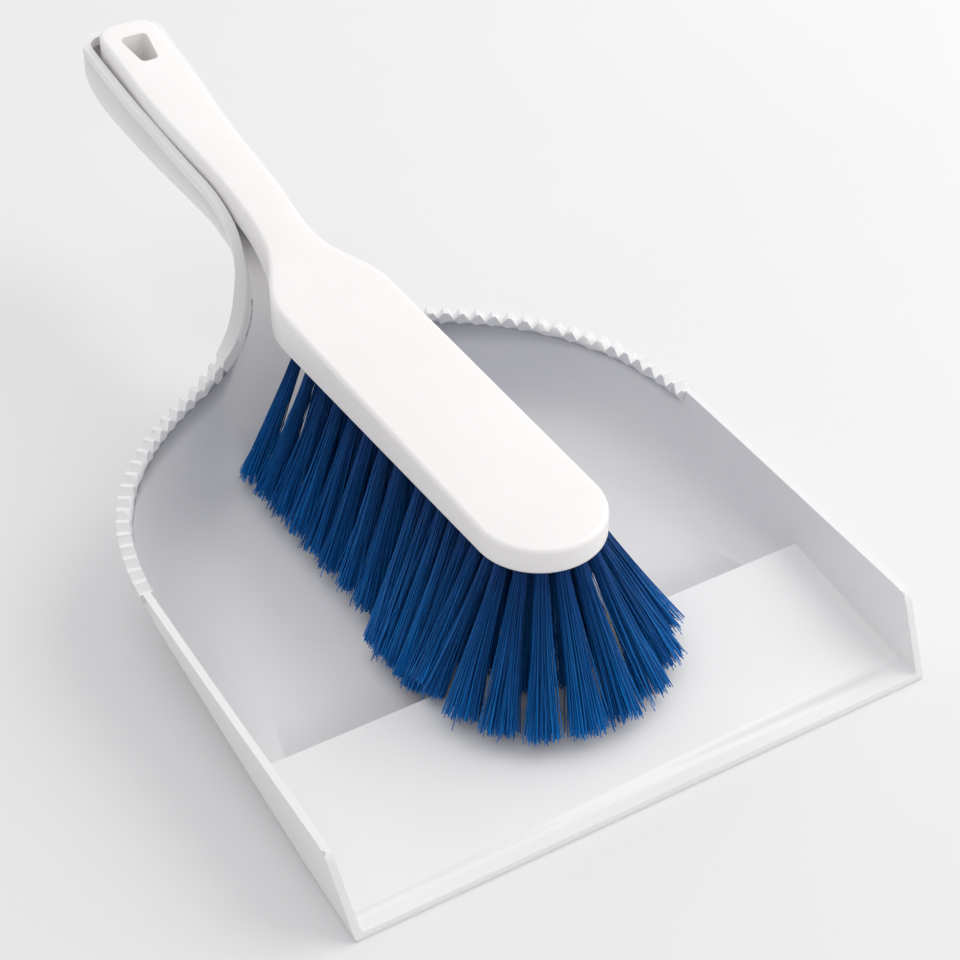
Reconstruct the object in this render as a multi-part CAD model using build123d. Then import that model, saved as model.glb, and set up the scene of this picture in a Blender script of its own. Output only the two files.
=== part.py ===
from build123d import *
import math
import os

# Dust pan with a hand brush lying in it. Millimetres, +Z up, +X to the right, the lip in front.
# Distances "back" are measured from the front of the lip towards the end of the handle.

# overall sizes
set_length = 391.0            # lip to the end of the pan's handle
neck_back = 256.0             # where the neck has become the handle
pan_half_width = 110.0        # half the width over the lip
wall_front_height = 28.0      # side wall at the front
wall_rear_height = 36.5       # side wall where the comb rim begins

# dust pan
wall = 2.6                    # moulded wall
bed_thickness = 2.4           # floor sheet of the tray
lip_thickness = 1.2
lip_strip = 8.0               # flat strip behind the lip
lip_strip_height = 3.2
crest_back = 67.5             # where the ramp ends
crest_height = 13.7
crest_step = 2.5              # the crest's drop leans back this far
ramp_sheet = 2.2
wall_front_lean = 13.7        # the walls' front edges lean back this far
wall_corner_radius = 5.0
straight_wall_end = 138.5     # the comb rim begins here
rim_lip = 1.0                 # the rim band stands out this far on both faces of the wall
handle_rim_lip = 0.25         # the same along the handle
rim_fade = (247, 275)         # where one passes into the other
end_lean = 0.16               # the handle's end face leans out downwards
rim_band = 4.2                # depth of the rim band
comb_pitch = 6.2
comb_groove_width = 4.6
comb_groove_depth = 2.9
comb_teeth = 21
handle_end_radius = 9.0
above = 30.0                  # the lofts run this far past the rim before they are trimmed

# brush
block_front = 49.0            # front of the brush block
block_rear = 207.0            # rear shoulders of the block
block_half_width = 22.6
block_bottom = 62.2           # height of the bristle face
block_front_top = 71.8
block_rear_top = 78.9
grip_start = 258.0            # narrowest point of the handle
grip_half_width = 9.4
grip_swell = 1.7              # the grip is this much wider where the hanging end begins
paddle_half_width = 12.4
paddle_corner = 7.5
end_gap = 8.5                 # the brush ends this far short of the pan's handle
grip_thickness = 12.5
grip_tops = [(0.044, 91.2), (0.252, 95.9), (0.489, 100.4), (0.711, 106.4), (0.937, 112.4)]
trough_clearance = 0.7
edge_round = 1.8

# hanging hole, through both handles
hole_length = 17.0
hole_wide = 12.0
hole_narrow = 7.0
hole_corner = 2.2
pan_hole_extra = 0.8          # the pan's hole is this much larger all round

# bristles
hole_radius = 2.5             # drilled in the block
tuft_clearance = 0.08
hole_depth = 7.2
rear_tip_radius = 4.1         # a tuft opens out to this at its trimmed end
front_tip_radius = 2.9
nose_tip_radius = 4.9
rear_pitch = 10.6
rear_count = 8
front_pitch = 7.25
front_count = 7
outer_row = 17.0              # rows measured from the centre line
inner_row = 8.5
fan_radius = 18.6             # ring of tufts round the front
fan_outer = 8
fan_inner = 3
rear_spread = 2.15            # tip spread over root spread
front_spread = 2.55
tip_plane = 8.6               # bristle ends above the floor
ramp_gap = 1.1                # bristle ends above the ramp
staple_thickness = 0.4
staple_height = 1.8
staple_bite = 0.25            # each end of the staple enters the block this far


def along_handle(share):
    # distance back of a place on the handle: 0 at the neck, 1 at the end
    return neck_back + share * (set_length - neck_back)


brush_end = set_length - end_gap
paddle_start = along_handle(0.444)   # hanging end of the brush's handle
paddle_flare = along_handle(0.667) - paddle_start
hole_back = brush_end - 18.5


def grip_half(back):
    # half width of the brush's handle
    if back <= paddle_start:
        return grip_half_width + grip_swell * max(0.0, (back - grip_start) / (paddle_start - grip_start))
    share = min(1.0, (back - paddle_start) / paddle_flare)
    return grip_half_width + grip_swell + (paddle_half_width - grip_half_width - grip_swell) * share


def trough_half(back):
    # outer half width of the pan's handle, which holds the brush's handle
    return grip_half(back) + trough_clearance + wall


def trough_station(share, rim_inset, floor_inset, floor, rim):
    back = along_handle(share)
    half = trough_half(back)
    return (back, half - rim_inset, half - floor_inset, floor, rim, 5)


rim_slope = (wall_rear_height - wall_front_height) / (straight_wall_end - wall_front_lean)


def straight_rim(back):
    return wall_front_height + rim_slope * (back - wall_front_lean)


# stations of the pan: back, half width at the rim, half width at the floor, floor, rim,
# reach of the rounded lower corner
pan_stations = [
    (0, pan_half_width + 2.4, pan_half_width, 0, straight_rim(0), 1.5),
    (45, pan_half_width + 2.2, pan_half_width - 1.5, 0, straight_rim(45), 6),
    (90, pan_half_width + 2.0, pan_half_width - 3.5, 0, straight_rim(90), 15),
    (straight_wall_end, pan_half_width + 1.5, pan_half_width - 6, 0, wall_rear_height, 25),
    (165, pan_half_width - 2.8, pan_half_width - 11.5, 0, wall_rear_height + 1.8, 29),
    (189, pan_half_width - 14, pan_half_width - 23, 0, wall_rear_height + 3.4, 30),
    (205, pan_half_width - 28, pan_half_width - 39, 0.8, wall_rear_height + 5.2, 28),
    (218, pan_half_width * 0.59, pan_half_width * 0.455, 6, wall_rear_height + 6.8, 24),
    (229, pan_half_width * 0.41, pan_half_width * 0.3, 18, wall_rear_height + 9, 14),
    (238, pan_half_width * 0.282, pan_half_width * 0.214, 34, wall_rear_height + 14, 9),
    (247, pan_half_width * 0.191, pan_half_width * 0.164, 50, wall_rear_height + 24, 6),
    trough_station(0, -2.6, -1.6, 61, wall_rear_height + 36),
    trough_station(0.089, -0.4, 0, 69, 83),
    trough_station(0.178, 0, 0.4, 72, 87.5),
    trough_station(0.326, 0, 0.6, 72.8, 90.2),
    trough_station(0.489, 0, 0.8, 73.6, 93.5),
    trough_station(0.659, -0.6, 0.5, 76.2, 98.2),
    trough_station(0.86, -1.3, 0.2, 79, 103.4),
    trough_station(0.95, -1.6, 0.3, 82.6, 106.5),
    trough_station(1, -1.8, 0.6, 90, 108.3),
]


def at(back):
    # place along Y of a distance measured back from the lip
    return back - set_length / 2


def slope_between(low, high, column):
    return (high[column] - low[column]) / (high[0] - low[0])


def knot_slope(index, column):
    # slope through a station that never overshoots its neighbours
    if index in (0, len(pan_stations) - 1):
        neighbour = 1 if index == 0 else index - 1
        first, last = sorted((index, neighbour))
        return slope_between(pan_stations[first], pan_stations[last], column)
    before = slope_between(pan_stations[index - 1], pan_stations[index], column)
    after = slope_between(pan_stations[index], pan_stations[index + 1], column)
    if before * after <= 0:
        return 0.0
    return 2 * before * after / (before + after)


def station_at(back):
    # smooth in-between station
    index = max(i for i, station in enumerate(pan_stations[:-1]) if station[0] <= back)
    low, high = pan_stations[index], pan_stations[index + 1]
    span = high[0] - low[0]
    share = (back - low[0]) / span
    values = [back]
    for column in range(1, len(low)):
        rise_low = knot_slope(index, column) * span
        rise_high = knot_slope(index + 1, column) * span
        delta = high[column] - low[column]
        bend_two = 3 * delta - 2 * rise_low - rise_high
        bend_three = rise_low + rise_high - 2 * delta
        values.append(low[column] + share * (rise_low + share * (bend_two + share * bend_three)))
    return values


def loft_places():
    # close together round the stern and the neck, further apart where the pan is straight
    bend = along_handle(0.08)
    curl = along_handle(0.86)
    stretches = [
        (0, straight_wall_end, 4),
        (straight_wall_end, 205, 9),
        (205, bend, 18),
        (bend, curl, 7),
        (curl, set_length, 6),
    ]
    places = [0.0]
    for start, end, count in stretches:
        places += [start + (end - start) * (step + 1) / count for step in range(count)]
    return places


def pan_section(station, grow, lift, back_shift):
    # closed section of the pan across its length, wide at the top
    back, rim_half, floor_half, floor, rim, corner = station
    floor = floor + lift
    lean = (rim_half - floor_half) / (rim - station[3])
    top = rim + above
    widen = grow(back) if callable(grow) else grow
    low_half = floor_half + widen + lean * lift
    top_half = floor_half + widen + lean * (top - station[3])
    side = Vector(lean, 1).normalized() * corner
    plane = Plane(origin=(0, at(back) + back_shift, 0), x_dir=(1, 0, 0), z_dir=(0, -1, 0))
    with BuildSketch(plane) as sketch:
        with BuildLine():
            Line((-top_half, top), (top_half, top))
            Line((top_half, top), (low_half + side.X, floor + side.Y))
            Bezier((low_half + side.X, floor + side.Y), (low_half, floor), (low_half - corner, floor))
            Line((low_half - corner, floor), (corner - low_half, floor))
            Bezier((corner - low_half, floor), (-low_half, floor), (-low_half - side.X, floor + side.Y))
            Line((-low_half - side.X, floor + side.Y), (-top_half, top))
        make_face()
    return sketch.sketch


def pan_loft(grow, lift, back_shift):
    return loft([pan_section(station_at(back), grow, lift, back_shift) for back in loft_places()], ruled=True)


def across(points_maker, half=150.0):
    # solid that runs across the pan with the given side view
    plane = Plane(origin=(0, 0, 0), x_dir=(0, 1, 0), z_dir=(1, 0, 0))
    with BuildPart() as part:
        with BuildSketch(plane):
            with BuildLine():
                points_maker()
            make_face()
        extrude(amount=half, both=True)
    return part.part


def rim_points(drop=0.0):
    return [(at(back), rim - drop) for back, _, _, _, rim, _ in pan_stations if back > straight_wall_end]


def rim_curve(drop=0.0):
    # rim line of the rear wall, the neck and the handle, seen from the side
    start = (at(straight_wall_end), wall_rear_height - drop)
    return Spline([start] + rim_points(drop), tangents=[(1, rim_slope), (1, 0.165)])


def side_view():
    # everything of the pan lies inside this outline
    corner = (at(wall_front_lean), wall_front_height)
    foot = (at(0), lip_thickness)
    up = (Vector(*foot) - Vector(*corner)).normalized() * wall_corner_radius
    along = Vector(1, rim_slope).normalized() * wall_corner_radius
    before = (corner[0] + up.X, corner[1] + up.Y)
    after = (corner[0] + along.X, corner[1] + along.Y)

    def outline():
        curve = rim_curve()
        Line((at(0), 0), foot)
        Line(foot, before)
        Bezier(before, corner, after)
        Line(after, curve @ 0)
        Line(curve @ 1, (at(set_length) + 5, (curve @ 1).Y))
        Line((at(set_length) + 5, (curve @ 1).Y), (at(set_length) + 5, 0))
        Line((at(set_length) + 5, 0), (at(0), 0))
    return across(outline)


def rim_grow(back):
    # how far the rim band stands out from the wall's faces
    share = min(1.0, max(0.0, (back - rim_fade[0]) / (rim_fade[1] - rim_fade[0])))
    return rim_lip + (handle_rim_lip - rim_lip) * share


def rim_region():
    # band just under the rim, from the start of the comb to the end of the handle
    def outline():
        top = rim_curve()
        low = rim_curve(rim_band)
        Line(top @ 0, low @ 0)
        Line(top @ 1, (at(set_length) + 5, (top @ 1).Y))
        Line((at(set_length) + 5, (top @ 1).Y), (at(set_length) + 5, (low @ 1).Y))
        Line((at(set_length) + 5, (low @ 1).Y), low @ 1)
    return across(outline)


def end_cap(inset):
    # keeps what lies in front of the handle's rounded, leaning end
    end_half = pan_stations[-1][1] + handle_rim_lip - inset
    tail = Pos(0, -60, 0) * Box(2 * end_half, 120, 200)
    tail = fillet(tail.edges().filter_by(Axis.Z).sort_by(Axis.Y)[-2:], handle_end_radius - inset)
    tail = Rot(math.degrees(math.atan(end_lean)), 0, 0) * tail
    tail = Pos(0, at(set_length - inset), pan_stations[-1][3]) * tail
    body = Pos(0, at(set_length / 2 - 60), 0) * Box(3 * pan_half_width, set_length, 400)
    return body + tail


def ramp():
    # sheet that climbs from the lip to the crest and drops to the bed
    def outline():
        Polyline(
            (at(0), 0),
            (at(0), lip_thickness),
            (at(lip_strip), lip_strip_height),
            (at(crest_back), crest_height),
            (at(crest_back + crest_step), bed_thickness / 2),
            (at(crest_back + crest_step), 0),
            (at(0), 0),
        )
    return across(outline)


def under_ramp():
    # hollow under the ramp
    def outline():
        Polyline(
            (at(lip_strip), -5),
            (at(lip_strip), lip_strip_height - ramp_sheet),
            (at(crest_back - ramp_sheet), crest_height - ramp_sheet * 1.2),
            (at(crest_back - ramp_sheet / 2), 0),
            (at(crest_back - ramp_sheet / 2), -5),
            (at(lip_strip), -5),
        )
    return across(outline, pan_half_width - 7)


def comb_path():
    # centre line of the comb rim on the right side, seen from above
    points = [(half - wall / 2, at(back)) for back, half, _, _, _, _ in pan_stations
              if straight_wall_end <= back < 240]
    return Spline(points, tangents=[(0, 1), (-1, 0.75)])


def rim_height(back):
    for low, high in zip(pan_stations, pan_stations[1:]):
        if low[0] <= back <= high[0]:
            share = (back - low[0]) / (high[0] - low[0])
            return low[4] + share * (high[4] - low[4])
    return pan_stations[-1][4]


def comb_grooves():
    path = comb_path()
    groove = extrude(
        Plane.XZ * Polygon(
            (-comb_groove_width / 2, 0),
            (0, -comb_groove_depth),
            (comb_groove_width / 2, 0),
            (comb_groove_width / 2, 6),
            (-comb_groove_width / 2, 6),
            align=None,
        ),
        amount=9,
        both=True,
    )
    cuts = []
    for index in range(comb_teeth):
        share = (index + 0.5) * comb_pitch / path.length
        spot = path @ share
        run = path % share
        turn = math.degrees(math.atan2(run.Y, run.X))
        height = rim_height(spot.Y + set_length / 2)
        right = Pos(spot.X, spot.Y, height) * Rot(0, 0, turn) * groove
        cuts += [right, mirror(right, about=Plane.YZ)]
    return cuts


def hang_hole(grow):
    # rounded taper through the handle, wide towards its end
    length = hole_length + 2 * grow
    wide = hole_wide / 2 + grow
    narrow = hole_narrow / 2 + grow
    taper = Polygon(
        (-narrow, -length / 2), (narrow, -length / 2), (wide, length / 2), (-wide, length / 2), align=None
    )
    solid = extrude(fillet(taper.vertices(), hole_corner), amount=200)
    return Pos(0, at(hole_back), 0) * solid


def make_dustpan():
    outer = pan_loft(0, 0, 0)
    inner = pan_loft(-wall, bed_thickness, -wall * 0.5)
    outline = side_view()
    shell = (outer & outline & end_cap(0)) - (inner & end_cap(wall))
    band_inside = pan_loft(lambda back: -wall - rim_grow(back), bed_thickness, -wall / 2)
    band_inside = band_inside & end_cap(wall + handle_rim_lip)
    band = (pan_loft(rim_grow, -rim_lip, 0) & end_cap(-handle_rim_lip)) - band_inside
    band = band & rim_region()
    pan = shell + band + (ramp() & outer & outline)
    pan = pan - under_ramp()
    pan = pan - comb_grooves()
    return pan - hang_hole(pan_hole_extra)


# brush back
def block_top(back):
    slope = (block_rear_top - block_front_top) / (block_rear - block_front)
    return block_front_top + slope * (back - block_front)


def handle_line(drop):
    # top line of the handle from the grip to its end, lowered by drop
    points = [(at(along_handle(share)), top - drop) for share, top in grip_tops]
    return Spline(points, tangents=[(1, 0.2), (1, 0.2)])


def brush_plan():
    # the brush back seen from above, at the height of its bristle face
    centre = block_front + block_half_width
    straight = block_rear - 2
    with BuildSketch() as sketch:
        with BuildLine():
            CenterArc((0, at(centre)), block_half_width, -90, 90)
            Line((block_half_width, at(centre)), (block_half_width, at(straight)))
            Spline(
                (block_half_width, at(straight)),
                (block_half_width - 2.2, at(straight + 12.5)),
                (grip_half_width + 4.6, at(grip_start - 27)),
                (grip_half_width, at(grip_start)),
                tangents=[(0, 1), (0, 1)],
            )
            Spline(
                (grip_half_width, at(grip_start)),
                (grip_half(paddle_start), at(paddle_start)),
                (paddle_half_width, at(paddle_start + paddle_flare)),
                tangents=[(0, 1), (0, 1)],
            )
            Line(
                (paddle_half_width, at(paddle_start + paddle_flare)),
                (paddle_half_width, at(brush_end - paddle_corner)),
            )
            CenterArc(
                (paddle_half_width - paddle_corner, at(brush_end - paddle_corner)), paddle_corner, 0, 90
            )
            Line((paddle_half_width - paddle_corner, at(brush_end)), (0, at(brush_end)))
            Line((0, at(brush_end)), (0, at(block_front)))
        make_face()
        mirror(about=Plane.YZ)
    return sketch.sketch


def brush_side():
    # the brush back seen from the side
    knee = block_rear + 12

    def outline():
        top_front = (at(block_front), block_top(block_front))
        top_rear = (at(block_rear - 12), block_top(block_rear - 12))
        low_block = (at(knee), block_bottom)
        top = handle_line(0)
        low = handle_line(grip_thickness)
        Line((at(block_front), block_bottom), top_front)
        Line(top_front, top_rear)
        shoulder = (at(block_rear + 28), block_rear_top + 3.9)
        Spline(top_rear, shoulder, top @ 0, tangents=[(1, 0.045), (1, 0.2)])
        Line(top @ 1, low @ 1)
        Spline(low @ 0, low_block, tangents=[(-1, -0.2), (-1, 0)])
        Line(low_block, (at(block_front), block_bottom))
    return across(outline, 60)


def brush_blank():
    # one moulding: its outline from above and its outline from the side
    return extrude(Pos(0, 0, block_bottom) * brush_plan(), amount=90) & brush_side()


def round_edges(blank):
    # long top edges and the lower edges of the block and the handle
    tall = blank.edges().filter_by(lambda edge: edge.length > 3 and edge.center().Z > block_bottom + 2)
    upright = [edge for edge in tall if abs((edge % 0.5).Z) > 0.9]
    soft = [edge for edge in tall if edge not in upright]
    return fillet(soft, edge_round)


# bristles
def ramp_top(back):
    share = (back - lip_strip) / (crest_back - lip_strip)
    return lip_strip_height + share * (crest_height - lip_strip_height)


def tuft_seat(across_x, back, tip_x, tip_back, tip_radius):
    # root and tip of one tuft; the tip stays clear of the ramp, the crest and the bed
    reach = math.hypot(tip_x - across_x, tip_back - back)
    tilt = math.atan2(reach, block_bottom - tip_plane)
    on_ramp = tip_back - tip_radius < crest_back + crest_step
    floor = ramp_top(min(tip_back + tip_radius, crest_back)) if on_ramp else bed_thickness
    low_side = tip_radius * math.sin(tilt)
    height = max(tip_plane, floor + ramp_gap + low_side)
    return Vector(across_x, at(back), block_bottom), Vector(tip_x, at(tip_back), height), tip_radius


def rear_row(row, stagger):
    # rear group: the tufts lean out sideways and fan a little along the brush
    first = block_rear - 4.0
    span = rear_pitch * (rear_count - 1)
    count = rear_count - (1 if stagger else 0)
    seats = []
    for index in range(count):
        back = first - rear_pitch * (index + (0.5 if stagger else 0))
        lean = 6.0 * (1 - 2 * (first - back) / span)
        seats.append(tuft_seat(row, back, row * rear_spread, back + lean, rear_tip_radius))
    return seats


def front_row(row, stagger):
    # front group along the straight part: leaning forward
    centre = block_front + block_half_width
    count = front_count - (1 if stagger else 0)
    seats = []
    for index in range(count):
        back = centre + front_pitch * (index + (0.5 if stagger else 0))
        lean = -5.6 - 0.1 * (back - centre)
        seats.append(tuft_seat(row, back, row * front_spread, back + lean, front_tip_radius))
    return seats


def fan_row(radius, tip_reach, count, tip_radius):
    # front group round the rounded end
    centre = block_front + block_half_width
    seats = []
    for index in range(count):
        angle = math.pi * (index + 1) / (count + 1)
        side, ahead = math.cos(angle), math.sin(angle)
        seats.append(tuft_seat(
            radius * side, centre - radius * ahead,
            tip_reach * side, centre - 5.6 - (tip_reach - 6) * ahead, tip_radius,
        ))
    return seats


def tuft_rows():
    # every tuft of the brush, by row
    return {
        "rear_left": rear_row(-outer_row, False),
        "rear_right": rear_row(outer_row, False),
        "front_left": front_row(-outer_row, False),
        "front_right": front_row(outer_row, False),
        "nose": fan_row(fan_radius, outer_row * front_spread, fan_outer, nose_tip_radius),
        "inner_rear_left": rear_row(-inner_row, True),
        "inner_rear_centre": rear_row(0, False),
        "inner_rear_right": rear_row(inner_row, True),
        "inner_front_left": front_row(-inner_row, True),
        "inner_front_centre": front_row(0, False),
        "inner_front_right": front_row(inner_row, True),
        "inner_nose": fan_row(inner_row, inner_row * front_spread, fan_inner, front_tip_radius),
    }


def seat_plane(seat):
    # origin at the root, Z out of the hole towards the tip, X across the staple's thickness
    root, tip, _ = seat
    out = (tip - root).normalized()
    return Plane(origin=root, x_dir=Vector(0, 1, 0).cross(out), z_dir=out)


def drilled_hole(seat):
    over = 4.0
    return seat_plane(seat) * Pos(0, 0, (over - hole_depth) / 2) * Cylinder(hole_radius, hole_depth + over)


def staple(seat, grow=0.0):
    # flat steel wire across the bottom of the hole, along the brush
    length = 2 * (hole_radius + staple_bite)
    body = Box(staple_thickness + grow, length + grow, staple_height + grow)
    return seat_plane(seat) * Pos(0, 0, staple_height / 2 - hole_depth + 0.6) * body


def tuft(seat):
    # folded bundle: a plug in the hole that opens out to the trimmed end
    root, tip, tip_radius = seat
    neck = hole_radius - tuft_clearance
    length = (tip - root).length
    plug = Pos(0, 0, (1.2 - hole_depth) / 2 + 0.1) * Cylinder(neck, hole_depth + 1.0)
    spray = Pos(0, 0, 1.2 + (length - 1.2) / 2) * Cone(neck, tip_radius, length - 1.2)
    return seat_plane(seat) * (plug + spray) - staple(seat)


def make_brush_back():
    back = round_edges(brush_blank())
    holes = [drilled_hole(seat) for seats in tuft_rows().values() for seat in seats]
    back = back - holes
    return back - hang_hole(0)


def group(solids):
    # separate solids that share one node
    return Compound(children=[Part(solid.wrapped) for solid in solids])


def main():
    os.makedirs("parts", exist_ok=True)
    pieces = {"dustpan": make_dustpan(), "brush_back": make_brush_back()}
    for row, seats in tuft_rows().items():
        if row.startswith("inner"):
            pieces["tufts_" + row] = group([tuft(seat) for seat in seats])
        else:
            for number, seat in enumerate(seats, 1):
                pieces[f"tuft_{row}_{number}"] = tuft(seat)
        pieces["staples_" + row] = group([staple(seat) for seat in seats])
    for name, piece in pieces.items():
        export_step(piece, f"parts/{name}.step")


if __name__ == "__main__":
    main()
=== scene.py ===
import math

import bmesh
import bpy
import numpy as np
from mathutils import Matrix, Vector


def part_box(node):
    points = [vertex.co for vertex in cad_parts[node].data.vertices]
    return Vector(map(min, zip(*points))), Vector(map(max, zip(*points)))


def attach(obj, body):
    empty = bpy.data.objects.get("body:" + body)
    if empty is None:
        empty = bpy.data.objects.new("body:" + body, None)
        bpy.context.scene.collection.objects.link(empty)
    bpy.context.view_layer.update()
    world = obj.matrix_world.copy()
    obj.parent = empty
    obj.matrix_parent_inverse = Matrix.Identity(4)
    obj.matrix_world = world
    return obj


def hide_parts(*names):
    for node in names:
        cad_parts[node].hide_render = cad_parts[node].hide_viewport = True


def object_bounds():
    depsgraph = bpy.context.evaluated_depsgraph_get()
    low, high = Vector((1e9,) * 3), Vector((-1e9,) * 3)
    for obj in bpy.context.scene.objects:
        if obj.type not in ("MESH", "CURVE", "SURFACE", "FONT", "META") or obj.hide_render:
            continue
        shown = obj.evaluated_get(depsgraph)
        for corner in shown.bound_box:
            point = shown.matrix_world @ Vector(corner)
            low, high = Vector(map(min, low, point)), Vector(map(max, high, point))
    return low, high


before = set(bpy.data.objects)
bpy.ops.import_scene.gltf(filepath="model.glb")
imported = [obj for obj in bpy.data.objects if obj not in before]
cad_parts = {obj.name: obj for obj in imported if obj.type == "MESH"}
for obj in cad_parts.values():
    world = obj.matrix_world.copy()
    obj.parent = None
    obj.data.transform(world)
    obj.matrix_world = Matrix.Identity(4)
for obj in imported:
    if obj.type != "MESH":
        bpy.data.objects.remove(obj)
cadBox = [list(corner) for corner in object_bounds()]
mm = 0.001
mergeDistance = 0.01 * mm
print("frame loaded")


# shader helpers
def newMaterial(name):
    material = bpy.data.materials.new(name)
    material.use_nodes = True
    tree = material.node_tree
    shader = next(node for node in tree.nodes if node.type == "BSDF_PRINCIPLED")
    place = tree.nodes.new("ShaderNodeTexCoord")
    return material, tree, shader, place.outputs["Object"]


def noise(tree, vector, scale, detail=3.0, roughness=0.5):
    node = tree.nodes.new("ShaderNodeTexNoise")
    node.inputs["Scale"].default_value = scale
    node.inputs["Detail"].default_value = detail
    node.inputs["Roughness"].default_value = roughness
    tree.links.new(vector, node.inputs["Vector"])
    return node.outputs["Fac"]


def rampBetween(tree, factor, low, high, start=0.35, end=0.65):
    node = tree.nodes.new("ShaderNodeValToRGB")
    node.color_ramp.elements[0].position = start
    node.color_ramp.elements[1].position = end
    node.color_ramp.elements[0].color = (*low, 1)
    node.color_ramp.elements[1].color = (*high, 1)
    tree.links.new(factor, node.inputs["Fac"])
    return node.outputs["Color"]


def spread(tree, factor, low, high):
    node = tree.nodes.new("ShaderNodeMapRange")
    node.inputs["To Min"].default_value = low
    node.inputs["To Max"].default_value = high
    tree.links.new(factor, node.inputs["Value"])
    return node.outputs["Result"]


def bump(tree, shader, height, strength, distance, under=None):
    node = tree.nodes.new("ShaderNodeBump")
    node.inputs["Strength"].default_value = strength
    node.inputs["Distance"].default_value = distance
    tree.links.new(height, node.inputs["Height"])
    if under is not None:
        tree.links.new(under, node.inputs["Normal"])
    tree.links.new(node.outputs["Normal"], shader.inputs["Normal"])
    return node.outputs["Normal"]


# moulded plastics
panPlastic = {
    "name": "panPolypropylene",
    "shadeLow": (0.835, 0.825, 0.825),
    "shadeHigh": (0.865, 0.855, 0.855),
    "roughLow": 0.34,
    "roughHigh": 0.46,
    "mottle": 14.0,
    "scuffs": 160.0,
    "grain": 900.0,
    "grainDepth": 0.03 * mm,
    "waviness": 26.0,
    "wavinessDepth": 0.4 * mm,
}
brushPlastic = {
    "name": "brushPolypropylene",
    "shadeLow": (0.90, 0.875, 0.86),
    "shadeHigh": (0.925, 0.905, 0.89),
    "roughLow": 0.26,
    "roughHigh": 0.38,
    "mottle": 14.0,
    "scuffs": 160.0,
    "grain": 1400.0,
    "grainDepth": 0.01 * mm,
    "waviness": 22.0,
    "wavinessDepth": 0.5 * mm,
}


def mouldedPlastic(look):
    material, tree, shader, where = newMaterial(look["name"])
    mottled = noise(tree, where, look["mottle"], 4.0)
    colour = rampBetween(tree, mottled, look["shadeLow"], look["shadeHigh"])
    tree.links.new(colour, shader.inputs["Base Color"])
    scuffs = noise(tree, where, look["scuffs"], 5.0, 0.65)
    tree.links.new(spread(tree, scuffs, look["roughLow"], look["roughHigh"]), shader.inputs["Roughness"])
    wave = bump(tree, shader, noise(tree, where, look["waviness"], 1.0), 0.35, look["wavinessDepth"])
    bump(tree, shader, noise(tree, where, look["grain"], 2.0), 0.5, look["grainDepth"], wave)
    shader.inputs["IOR"].default_value = 1.49
    shader.inputs["Subsurface Weight"].default_value = 0.12
    shader.inputs["Subsurface Radius"].default_value = (0.004, 0.0035, 0.003)
    shader.inputs["Subsurface Scale"].default_value = 1.0
    return material


def filamentMaterial():
    look = {
        # the root colour is painted shade: a darker blue standing in for the shade where the filaments crowd
        # together at the block
        "rootColour": (0.0, 0.045, 0.2),
        "darkTip": (0.0, 0.09, 0.34),
        "lightTip": (0.0, 0.25, 0.75),
        "roughLow": 0.38,
        "roughHigh": 0.56,
        "specular": 0.28,
    }
    material, tree, shader, where = newMaterial("blueFilament")
    shade = tree.nodes.new("ShaderNodeAttribute")
    shade.attribute_name = "filamentShade"
    along = tree.nodes.new("ShaderNodeAttribute")
    along.attribute_name = "filamentReach"
    tipColour = rampBetween(tree, shade.outputs["Fac"], look["darkTip"], look["lightTip"], 0.1, 0.95)
    # painted shade: each filament's colour runs from the dark root blue at the block to its own tip blue at
    # the trimmed end
    mix = tree.nodes.new("ShaderNodeMix")
    mix.data_type = "RGBA"
    tree.links.new(along.outputs["Fac"], mix.inputs["Factor"])
    mix.inputs["A"].default_value = (*look["rootColour"], 1)
    tree.links.new(tipColour, mix.inputs["B"])
    tree.links.new(mix.outputs["Result"], shader.inputs["Base Color"])
    streaks = noise(tree, where, 700.0, 2.0)
    roughness = spread(tree, streaks, look["roughLow"], look["roughHigh"])
    tree.links.new(roughness, shader.inputs["Roughness"])
    shader.inputs["IOR"].default_value = 1.5
    shader.inputs["Specular IOR Level"].default_value = look["specular"]
    return material


def stapleMaterial():
    look = {
        "shadeLow": (0.5, 0.5, 0.48),
        "shadeHigh": (0.68, 0.68, 0.66),
        "roughLow": 0.25,
        "roughHigh": 0.42,
        "drawLines": 1800.0,
    }
    material, tree, shader, where = newMaterial("stapleWire")
    drawn = noise(tree, where, look["drawLines"], 2.0)
    colour = rampBetween(tree, drawn, look["shadeLow"], look["shadeHigh"])
    tree.links.new(colour, shader.inputs["Base Color"])
    tree.links.new(spread(tree, drawn, look["roughLow"], look["roughHigh"]), shader.inputs["Roughness"])
    shader.inputs["Metallic"].default_value = 1.0
    return material


panWhite = mouldedPlastic(panPlastic)
brushWhite = mouldedPlastic(brushPlastic)
filamentBlue = filamentMaterial()
stapleSteel = stapleMaterial()
print("materials made")


# moulded pieces: the CAD surfaces, merged and smoothed
def mergedCopy(node):
    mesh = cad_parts[node].data.copy()
    shape = bmesh.new()
    shape.from_mesh(mesh)
    bmesh.ops.remove_doubles(shape, verts=shape.verts, dist=mergeDistance)
    shape.to_mesh(mesh)
    shape.free()
    return mesh


def mouldedPiece(name, node, body, material, look):
    mesh = mergedCopy(node)
    mesh.name = name
    mesh.materials.clear()
    mesh.materials.append(material)
    mesh.polygons.foreach_set("use_smooth", [True] * len(mesh.polygons))
    mesh.set_sharp_from_angle(angle=math.radians(look["sharpAngle"]))
    piece = bpy.data.objects.new(name, mesh)
    bpy.context.scene.collection.objects.link(piece)
    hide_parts(node)
    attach(piece, body)
    return piece


panLook = {"sharpAngle": 24}
brushLook = {"sharpAngle": 30}
pan = mouldedPiece("panMoulding", "dustpan", "pan", panWhite, panLook)
brushBack = mouldedPiece("brushMoulding", "brush_back", "brush", brushWhite, brushLook)
print("mouldings ready", len(pan.data.polygons), len(brushBack.data.polygons))

# bristles: where the CAD tufts are
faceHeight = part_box("brush_back")[0][2]


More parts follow.
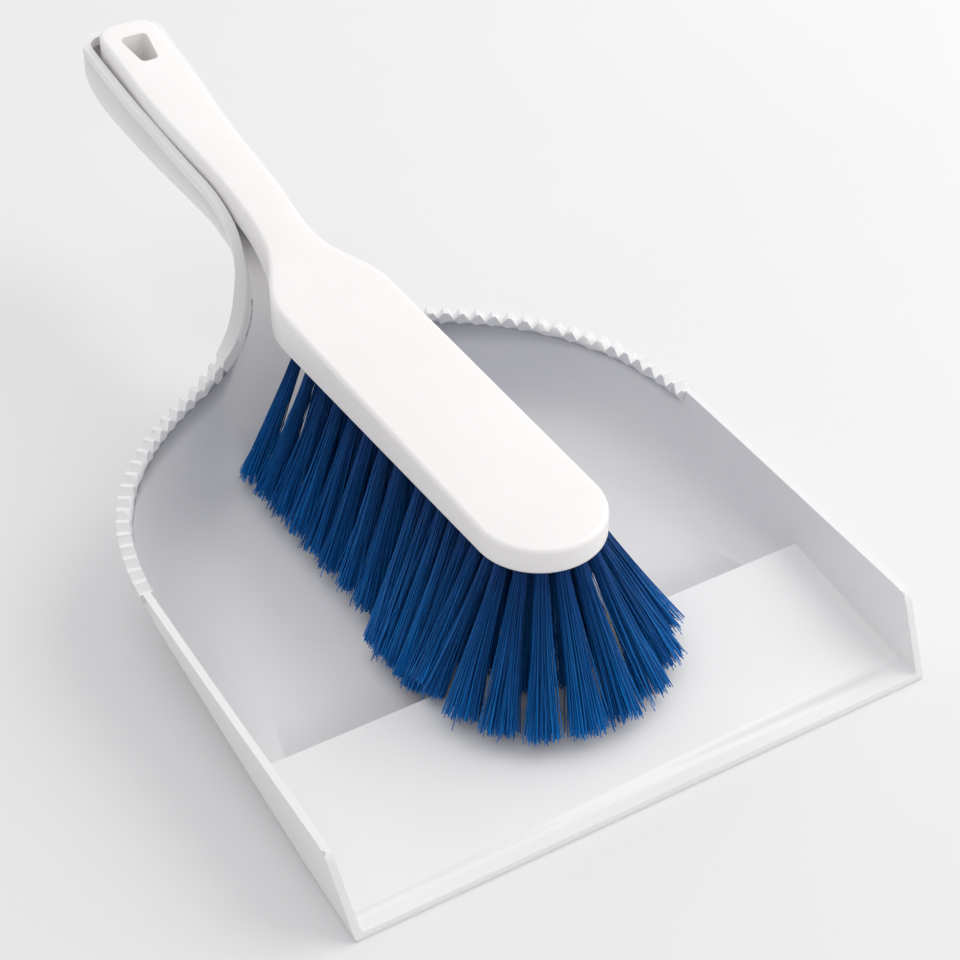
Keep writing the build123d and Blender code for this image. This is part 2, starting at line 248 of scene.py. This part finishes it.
def islands(node):
    # each tuft of the node as its own set of points
    shape = bmesh.new()
    shape.from_mesh(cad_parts[node].data)
    bmesh.ops.remove_doubles(shape, verts=shape.verts, dist=mergeDistance)
    left = set(shape.verts)
    found = []
    while left:
        stack = [left.pop()]
        group = []
        while stack:
            vertex = stack.pop()
            group.append(tuple(vertex.co))
            for edge in vertex.link_edges:
                other = edge.other_vert(vertex)
                if other in left:
                    left.remove(other)
                    stack.append(other)
        found.append(np.array(group))
    shape.free()
    return sorted(found, key=lambda points: tuple(points.mean(axis=0).round(5)))


def tuftLine(points):
    # root on the bristle face, centre of the trimmed end and its radius
    centre = (points.max(axis=0) + points.min(axis=0)) / 2
    away = points - points.mean(axis=0)
    axis = np.linalg.svd(away, full_matrices=False)[2][0]
    if axis[2] > 0:
        axis = -axis
    reach = (points - centre) @ axis
    end = points[reach > reach.max() - 0.1 * mm]
    tip = end.mean(axis=0)
    radius = np.linalg.norm(end - tip, axis=1).max()
    root = tip + axis * (faceHeight - tip[2]) / axis[2]
    return root, tip, radius


tuftGroups = {}
for node in sorted(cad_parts):
    if node.startswith("tuft_"):
        row = node.rsplit("_", 1)[0].replace("tuft_", "")
    elif node.startswith("tufts_"):
        row = node.replace("tufts_", "")
    else:
        continue
    tuftGroups.setdefault(row, {"nodes": [], "tufts": []})
    tuftGroups[row]["nodes"].append(node)
    tuftGroups[row]["tufts"] += [tuftLine(points) for points in islands(node)]
print("tufts found", {row: len(group["tufts"]) for row, group in tuftGroups.items()})

bristleLook = {
    "filaments": 190,
    "filamentRadius": 0.19 * mm,
    "rootRadius": 2.2 * mm,
    "flare": 1.27,
    "bend": 1.0 * mm,
    "trimJitter": 1.3 * mm,
    "strayShare": 0.05,
    "strayReach": 3.0 * mm,
    "points": 6,
    "sides": 3,
    "seed": 7,
}


# bristles: the filament tree
class TreeMaker:
    def __init__(self, name):
        self.tree = bpy.data.node_groups.new(name, "GeometryNodeTree")
        self.sockets = {}

    def add(self, kind, **settings):
        node = self.tree.nodes.new(kind)
        for key, value in settings.items():
            setattr(node, key, value)
        return node

    def link(self, source, target):
        self.tree.links.new(source, target)

    def input(self, name, kind, default=None):
        socket = self.tree.interface.new_socket(name=name, in_out="INPUT", socket_type=kind)
        if default is not None:
            socket.default_value = default
        self.sockets[name] = socket.identifier
        return name

    def feed(self, value, socket):
        if isinstance(value, bpy.types.NodeSocket):
            self.link(value, socket)
        else:
            socket.default_value = value

    def maths(self, operation, first, second=None):
        node = self.add("ShaderNodeMath", operation=operation)
        self.feed(first, node.inputs[0])
        if second is not None:
            self.feed(second, node.inputs[1])
        return node.outputs[0]

    def vector(self, operation, first, second=None, scale=None):
        node = self.add("ShaderNodeVectorMath", operation=operation)
        self.feed(first, node.inputs[0])
        if second is not None:
            self.feed(second, node.inputs[1])
        if scale is not None:
            self.feed(scale, node.inputs["Scale"])
        return node.outputs[0]

    def random(self, low, high, number, seed, kind="FLOAT"):
        node = self.add("FunctionNodeRandomValue", data_type=kind)
        start = 0 if kind == "FLOAT_VECTOR" else 2
        self.feed(low, node.inputs[start])
        self.feed(high, node.inputs[start + 1])
        self.link(number, node.inputs["ID"])
        self.feed(seed, node.inputs["Seed"])
        return node.outputs[0 if kind == "FLOAT_VECTOR" else 1]

    def named(self, name, kind):
        node = self.add("GeometryNodeInputNamedAttribute", data_type=kind)
        node.inputs["Name"].default_value = name
        return node.outputs["Attribute"]

    def store(self, geometry, name, value, kind):
        node = self.add("GeometryNodeStoreNamedAttribute", data_type=kind, domain="POINT")
        self.link(geometry, node.inputs["Geometry"])
        node.inputs["Name"].default_value = name
        self.link(value, node.inputs["Value"])
        return node.outputs["Geometry"]


goldenAngle = 2.39996


def filamentTree(look):
    maker = TreeMaker("tuftFilaments")
    maker.input("Tufts", "NodeSocketGeometry")
    maker.input("Filaments", "NodeSocketInt", look["filaments"])
    maker.input("Filament Radius", "NodeSocketFloat", look["filamentRadius"])
    maker.input("Root Radius", "NodeSocketFloat", look["rootRadius"])
    maker.input("Flare", "NodeSocketFloat", look["flare"])
    maker.input("Bend", "NodeSocketFloat", look["bend"])
    maker.input("Trim Jitter", "NodeSocketFloat", look["trimJitter"])
    maker.input("Stray Share", "NodeSocketFloat", look["strayShare"])
    maker.input("Stray Reach", "NodeSocketFloat", look["strayReach"])
    maker.input("Seed", "NodeSocketInt", look["seed"])
    maker.input("Material", "NodeSocketMaterial")
    maker.tree.interface.new_socket(name="Filaments Out", in_out="OUTPUT", socket_type="NodeSocketGeometry")
    source = maker.add("NodeGroupInput").outputs

    points = maker.add("GeometryNodeMeshToPoints")
    maker.link(source["Tufts"], points.inputs["Mesh"])
    copies = maker.add("GeometryNodeDuplicateElements", domain="POINT")
    maker.link(points.outputs["Points"], copies.inputs["Geometry"])
    maker.link(source["Filaments"], copies.inputs["Amount"])
    number = maker.add("GeometryNodeInputIndex").outputs[0]
    order = copies.outputs["Duplicate Index"]
    seed = source["Seed"]

    # sunflower spacing over the tuft, loosened a little
    share = maker.maths("DIVIDE", maker.maths("ADD", order, 0.5), source["Filaments"])
    loose = maker.random(0.9, 1.08, number, seed)
    ring = maker.maths("MULTIPLY", maker.maths("SQRT", share), loose)
    turn = maker.maths("MULTIPLY_ADD", order, goldenAngle)
    turnNode = turn.node
    maker.link(maker.random(-0.35, 0.35, number, maker.maths("ADD", seed, 1)), turnNode.inputs[2])
    sideU = maker.maths("MULTIPLY", maker.maths("COSINE", turn), ring)
    sideV = maker.maths("MULTIPLY", maker.maths("SINE", turn), ring)
    axisU = maker.named("axisU", "FLOAT_VECTOR")
    axisV = maker.named("axisV", "FLOAT_VECTOR")
    across = maker.vector(
        "ADD", maker.vector("SCALE", axisU, scale=sideU), maker.vector("SCALE", axisV, scale=sideV)
    )
    position = maker.add("GeometryNodeInputPosition").outputs[0]
    root = maker.vector("ADD", position, maker.vector("SCALE", across, scale=source["Root Radius"]))

    # the trimmed end: flared, uneven, with a few strays
    tipRadius = maker.named("tipRadius", "FLOAT")
    tipSide = maker.maths("MULTIPLY", tipRadius, source["Flare"])
    jitter = maker.random((-1, -1, -0.6), (1, 1, 1), number, maker.maths("ADD", seed, 2), "FLOAT_VECTOR")
    isStray = maker.maths(
        "LESS_THAN", maker.random(0.0, 1.0, number, maker.maths("ADD", seed, 3)), source["Stray Share"]
    )
    looseness = maker.maths("MULTIPLY_ADD", isStray, source["Stray Reach"])
    maker.link(source["Trim Jitter"], looseness.node.inputs[2])
    tip = maker.vector(
        "ADD",
        maker.vector("ADD", position, maker.named("tipOffset", "FLOAT_VECTOR")),
        maker.vector("SCALE", across, scale=tipSide),
    )
    tip = maker.vector("ADD", tip, maker.vector("SCALE", jitter, scale=looseness))
    geometry = maker.store(copies.outputs["Geometry"], "rootAt", root, "FLOAT_VECTOR")
    geometry = maker.store(geometry, "tipAt", tip, "FLOAT_VECTOR")
    shade = maker.random(0.0, 1.0, number, maker.maths("ADD", seed, 4))
    geometry = maker.store(geometry, "filamentShade", shade, "FLOAT")
    sway = maker.random((-1, -1, 0), (1, 1, 0), number, maker.maths("ADD", seed, 5), "FLOAT_VECTOR")
    inward = maker.vector("SCALE", across, scale=-1.0)
    bow = maker.vector("ADD", maker.vector("SCALE", sway, scale=0.6), inward)
    swayBy = maker.vector("SCALE", bow, scale=source["Bend"])
    geometry = maker.store(geometry, "swayBy", swayBy, "FLOAT_VECTOR")

    # one short curve for each filament
    line = maker.add("GeometryNodeCurvePrimitiveLine")
    line.inputs["Start"].default_value = (0, 0, 0)
    line.inputs["End"].default_value = (0, 0, 0.001)
    fine = maker.add("GeometryNodeResampleCurve")
    maker.link(line.outputs["Curve"], fine.inputs["Curve"])
    fine.inputs["Count"].default_value = look["points"]
    scatter = maker.add("GeometryNodeInstanceOnPoints")
    maker.link(geometry, scatter.inputs["Points"])
    maker.link(fine.outputs["Curve"], scatter.inputs["Instance"])
    real = maker.add("GeometryNodeRealizeInstances")
    maker.link(scatter.outputs["Instances"], real.inputs["Geometry"])
    along = maker.add("GeometryNodeSplineParameter").outputs["Factor"]
    reached = maker.store(real.outputs["Geometry"], "filamentReach", along, "FLOAT")
    straight = maker.add("ShaderNodeMix", data_type="VECTOR")
    maker.link(along, straight.inputs["Factor"])
    maker.link(maker.named("rootAt", "FLOAT_VECTOR"), straight.inputs["A"])
    maker.link(maker.named("tipAt", "FLOAT_VECTOR"), straight.inputs["B"])
    arch = maker.maths("SINE", maker.maths("MULTIPLY", along, math.pi))
    sideways = maker.vector("SCALE", maker.named("swayBy", "FLOAT_VECTOR"), scale=arch)
    bowed = maker.vector("ADD", mixVector(straight), sideways)
    placed = maker.add("GeometryNodeSetPosition")
    maker.link(reached, placed.inputs["Geometry"])
    maker.link(bowed, placed.inputs["Position"])

    profile = maker.add("GeometryNodeCurvePrimitiveCircle")
    profile.inputs["Resolution"].default_value = look["sides"]
    maker.link(source["Filament Radius"], profile.inputs["Radius"])
    tube = maker.add("GeometryNodeCurveToMesh")
    maker.link(placed.outputs["Geometry"], tube.inputs["Curve"])
    maker.link(profile.outputs["Curve"], tube.inputs["Profile Curve"])
    tube.inputs["Fill Caps"].default_value = True
    whole = maker.add("GeometryNodeRealizeInstances")
    maker.link(tube.outputs["Mesh"], whole.inputs["Geometry"])
    coat = maker.add("GeometryNodeSetMaterial")
    maker.link(whole.outputs["Geometry"], coat.inputs["Geometry"])
    maker.link(source["Material"], coat.inputs["Material"])
    out = maker.add("NodeGroupOutput")
    maker.link(coat.outputs["Geometry"], out.inputs[0])
    return maker


def mixVector(node):
    return next(socket for socket in node.outputs if socket.enabled and socket.type == "VECTOR")


def tuftSeeds(name, tufts):
    # one point for each tuft, with its direction and its two side axes
    mesh = bpy.data.meshes.new(name + "Seeds")
    mesh.from_pydata([tuple(root) for root, _, _ in tufts], [], [])
    rows = {"tipOffset": [], "axisU": [], "axisV": []}
    for root, tip, _ in tufts:
        out = Vector(tip - root)
        axisU = out.cross(Vector((0, 1, 0))).normalized()
        rows["tipOffset"].append(out)
        rows["axisU"].append(axisU)
        rows["axisV"].append(out.cross(axisU).normalized())
    for attribute, vectors in rows.items():
        layer = mesh.attributes.new(attribute, "FLOAT_VECTOR", "POINT")
        layer.data.foreach_set("vector", [value for vector in vectors for value in vector])
    layer = mesh.attributes.new("tipRadius", "FLOAT", "POINT")
    layer.data.foreach_set("value", [float(radius) for _, _, radius in tufts])
    piece = bpy.data.objects.new(name, mesh)
    bpy.context.scene.collection.objects.link(piece)
    return piece


def growBristles(row, group, maker, look):
    words = [word.capitalize() for word in row.split("_")]
    piece = tuftSeeds("bristles" + "".join(words), group["tufts"])
    modifier = piece.modifiers.new("filaments", "NODES")
    modifier.node_group = maker.tree
    modifier[maker.sockets["Material"]] = filamentBlue
    modifier[maker.sockets["Seed"]] = look["seed"] + sum(map(ord, row))
    for socket, key in (("Filaments", "filaments"), ("Flare", "flare"), ("Bend", "bend")):
        modifier[maker.sockets[socket]] = look[key]
    shown = piece.evaluated_get(bpy.context.evaluated_depsgraph_get())
    mesh = bpy.data.meshes.new_from_object(shown)
    piece.modifiers.remove(modifier)
    piece.data = mesh
    for name in ("rootAt", "tipAt", "swayBy", "tipOffset", "axisU", "axisV", "tipRadius"):
        if name in mesh.attributes:
            mesh.attributes.remove(mesh.attributes[name])
    mesh.polygons.foreach_set("use_smooth", [True] * len(mesh.polygons))
    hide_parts(*group["nodes"])
    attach(piece, "brush")
    return piece


maker = filamentTree(bristleLook)
triangles = 0
for row, group in tuftGroups.items():
    piece = growBristles(row, group, maker, bristleLook)
    piece.data.calc_loop_triangles()
    triangles += len(piece.data.loop_triangles)
print("bristles grown", triangles, "triangles")

for node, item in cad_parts.items():
    if node.startswith("staples_"):
        item.data.materials.clear()
        item.data.materials.append(stapleSteel)

# studio
studio = {
    "floorHalf": 4.0,
    "floorLow": (0.80, 0.795, 0.80),
    "floorHigh": (0.815, 0.81, 0.815),
    "worldColour": (0.93, 0.935, 0.95),
    "worldStrength": 0.72,
    "lens": 84.0,
    "cameraBack": (-31.74, 37.66),
    "cameraDistance": 0.782,
    "target": (0.0132, cadBox[0][1] + 0.1288, 0.04),
    "keyPlace": (1.25, -0.2, 1.0),
    "keySize": 1.8,
    "keyPower": 15.0,
    "fillPlace": (-0.4, 0.5, 1.7),
    "fillSize": 1.8,
    "fillPower": 5.0,
}


def studioFloor():
    mesh = bpy.data.meshes.new("studioFloor")
    half = studio["floorHalf"]
    corners = [(-half, -half, 0), (half, -half, 0), (half, half, 0), (-half, half, 0)]
    mesh.from_pydata(corners, [], [(0, 1, 2, 3)])
    floor = bpy.data.objects.new("studioFloor", mesh)
    bpy.context.scene.collection.objects.link(floor)
    material, tree, shader, where = newMaterial("paperFloor")
    shader.inputs["Roughness"].default_value = 0.9
    tone = rampBetween(tree, noise(tree, where, 3.0), studio["floorLow"], studio["floorHigh"])
    tree.links.new(tone, shader.inputs["Base Color"])
    mesh.materials.append(material)


def aim(item, target):
    item.rotation_euler = (Vector(target) - item.location).to_track_quat("-Z", "Y").to_euler()


def softLight(name, place, target, size, power, colour):
    light = bpy.data.lights.new(name, "AREA")
    light.shape = "DISK"
    light.size = size
    light.energy = power
    light.color = colour
    item = bpy.data.objects.new(name, light)
    item.location = place
    bpy.context.scene.collection.objects.link(item)
    aim(item, target)


def studioCamera():
    around, above = (math.radians(angle) for angle in studio["cameraBack"])
    back = Vector((math.sin(around) * math.cos(above), -math.cos(around) * math.cos(above), math.sin(above)))
    camera = bpy.data.cameras.new("studioCamera")
    camera.lens = studio["lens"]
    item = bpy.data.objects.new("studioCamera", camera)
    item.location = Vector(studio["target"]) + back * studio["cameraDistance"]
    item.rotation_euler = back.to_track_quat("Z", "Y").to_euler()
    bpy.context.scene.collection.objects.link(item)
    bpy.context.scene.camera = item


studioFloor()
studioCamera()
middle = (0, 0, 0.03)
for name, colour in (("key", (1.0, 0.99, 0.97)), ("fill", (0.98, 0.98, 1.0))):
    place, size, power = (studio[name + part] for part in ("Place", "Size", "Power"))
    softLight(name + "Light", place, middle, size, power, colour)
world = bpy.data.worlds.new("studioWorld")
world.use_nodes = True
sky = world.node_tree.nodes["Background"]
sky.inputs["Color"].default_value = (*studio["worldColour"], 1)
sky.inputs["Strength"].default_value = studio["worldStrength"]
bpy.context.scene.world = world
bpy.context.scene.view_settings.view_transform = "Standard"
print("studio ready")
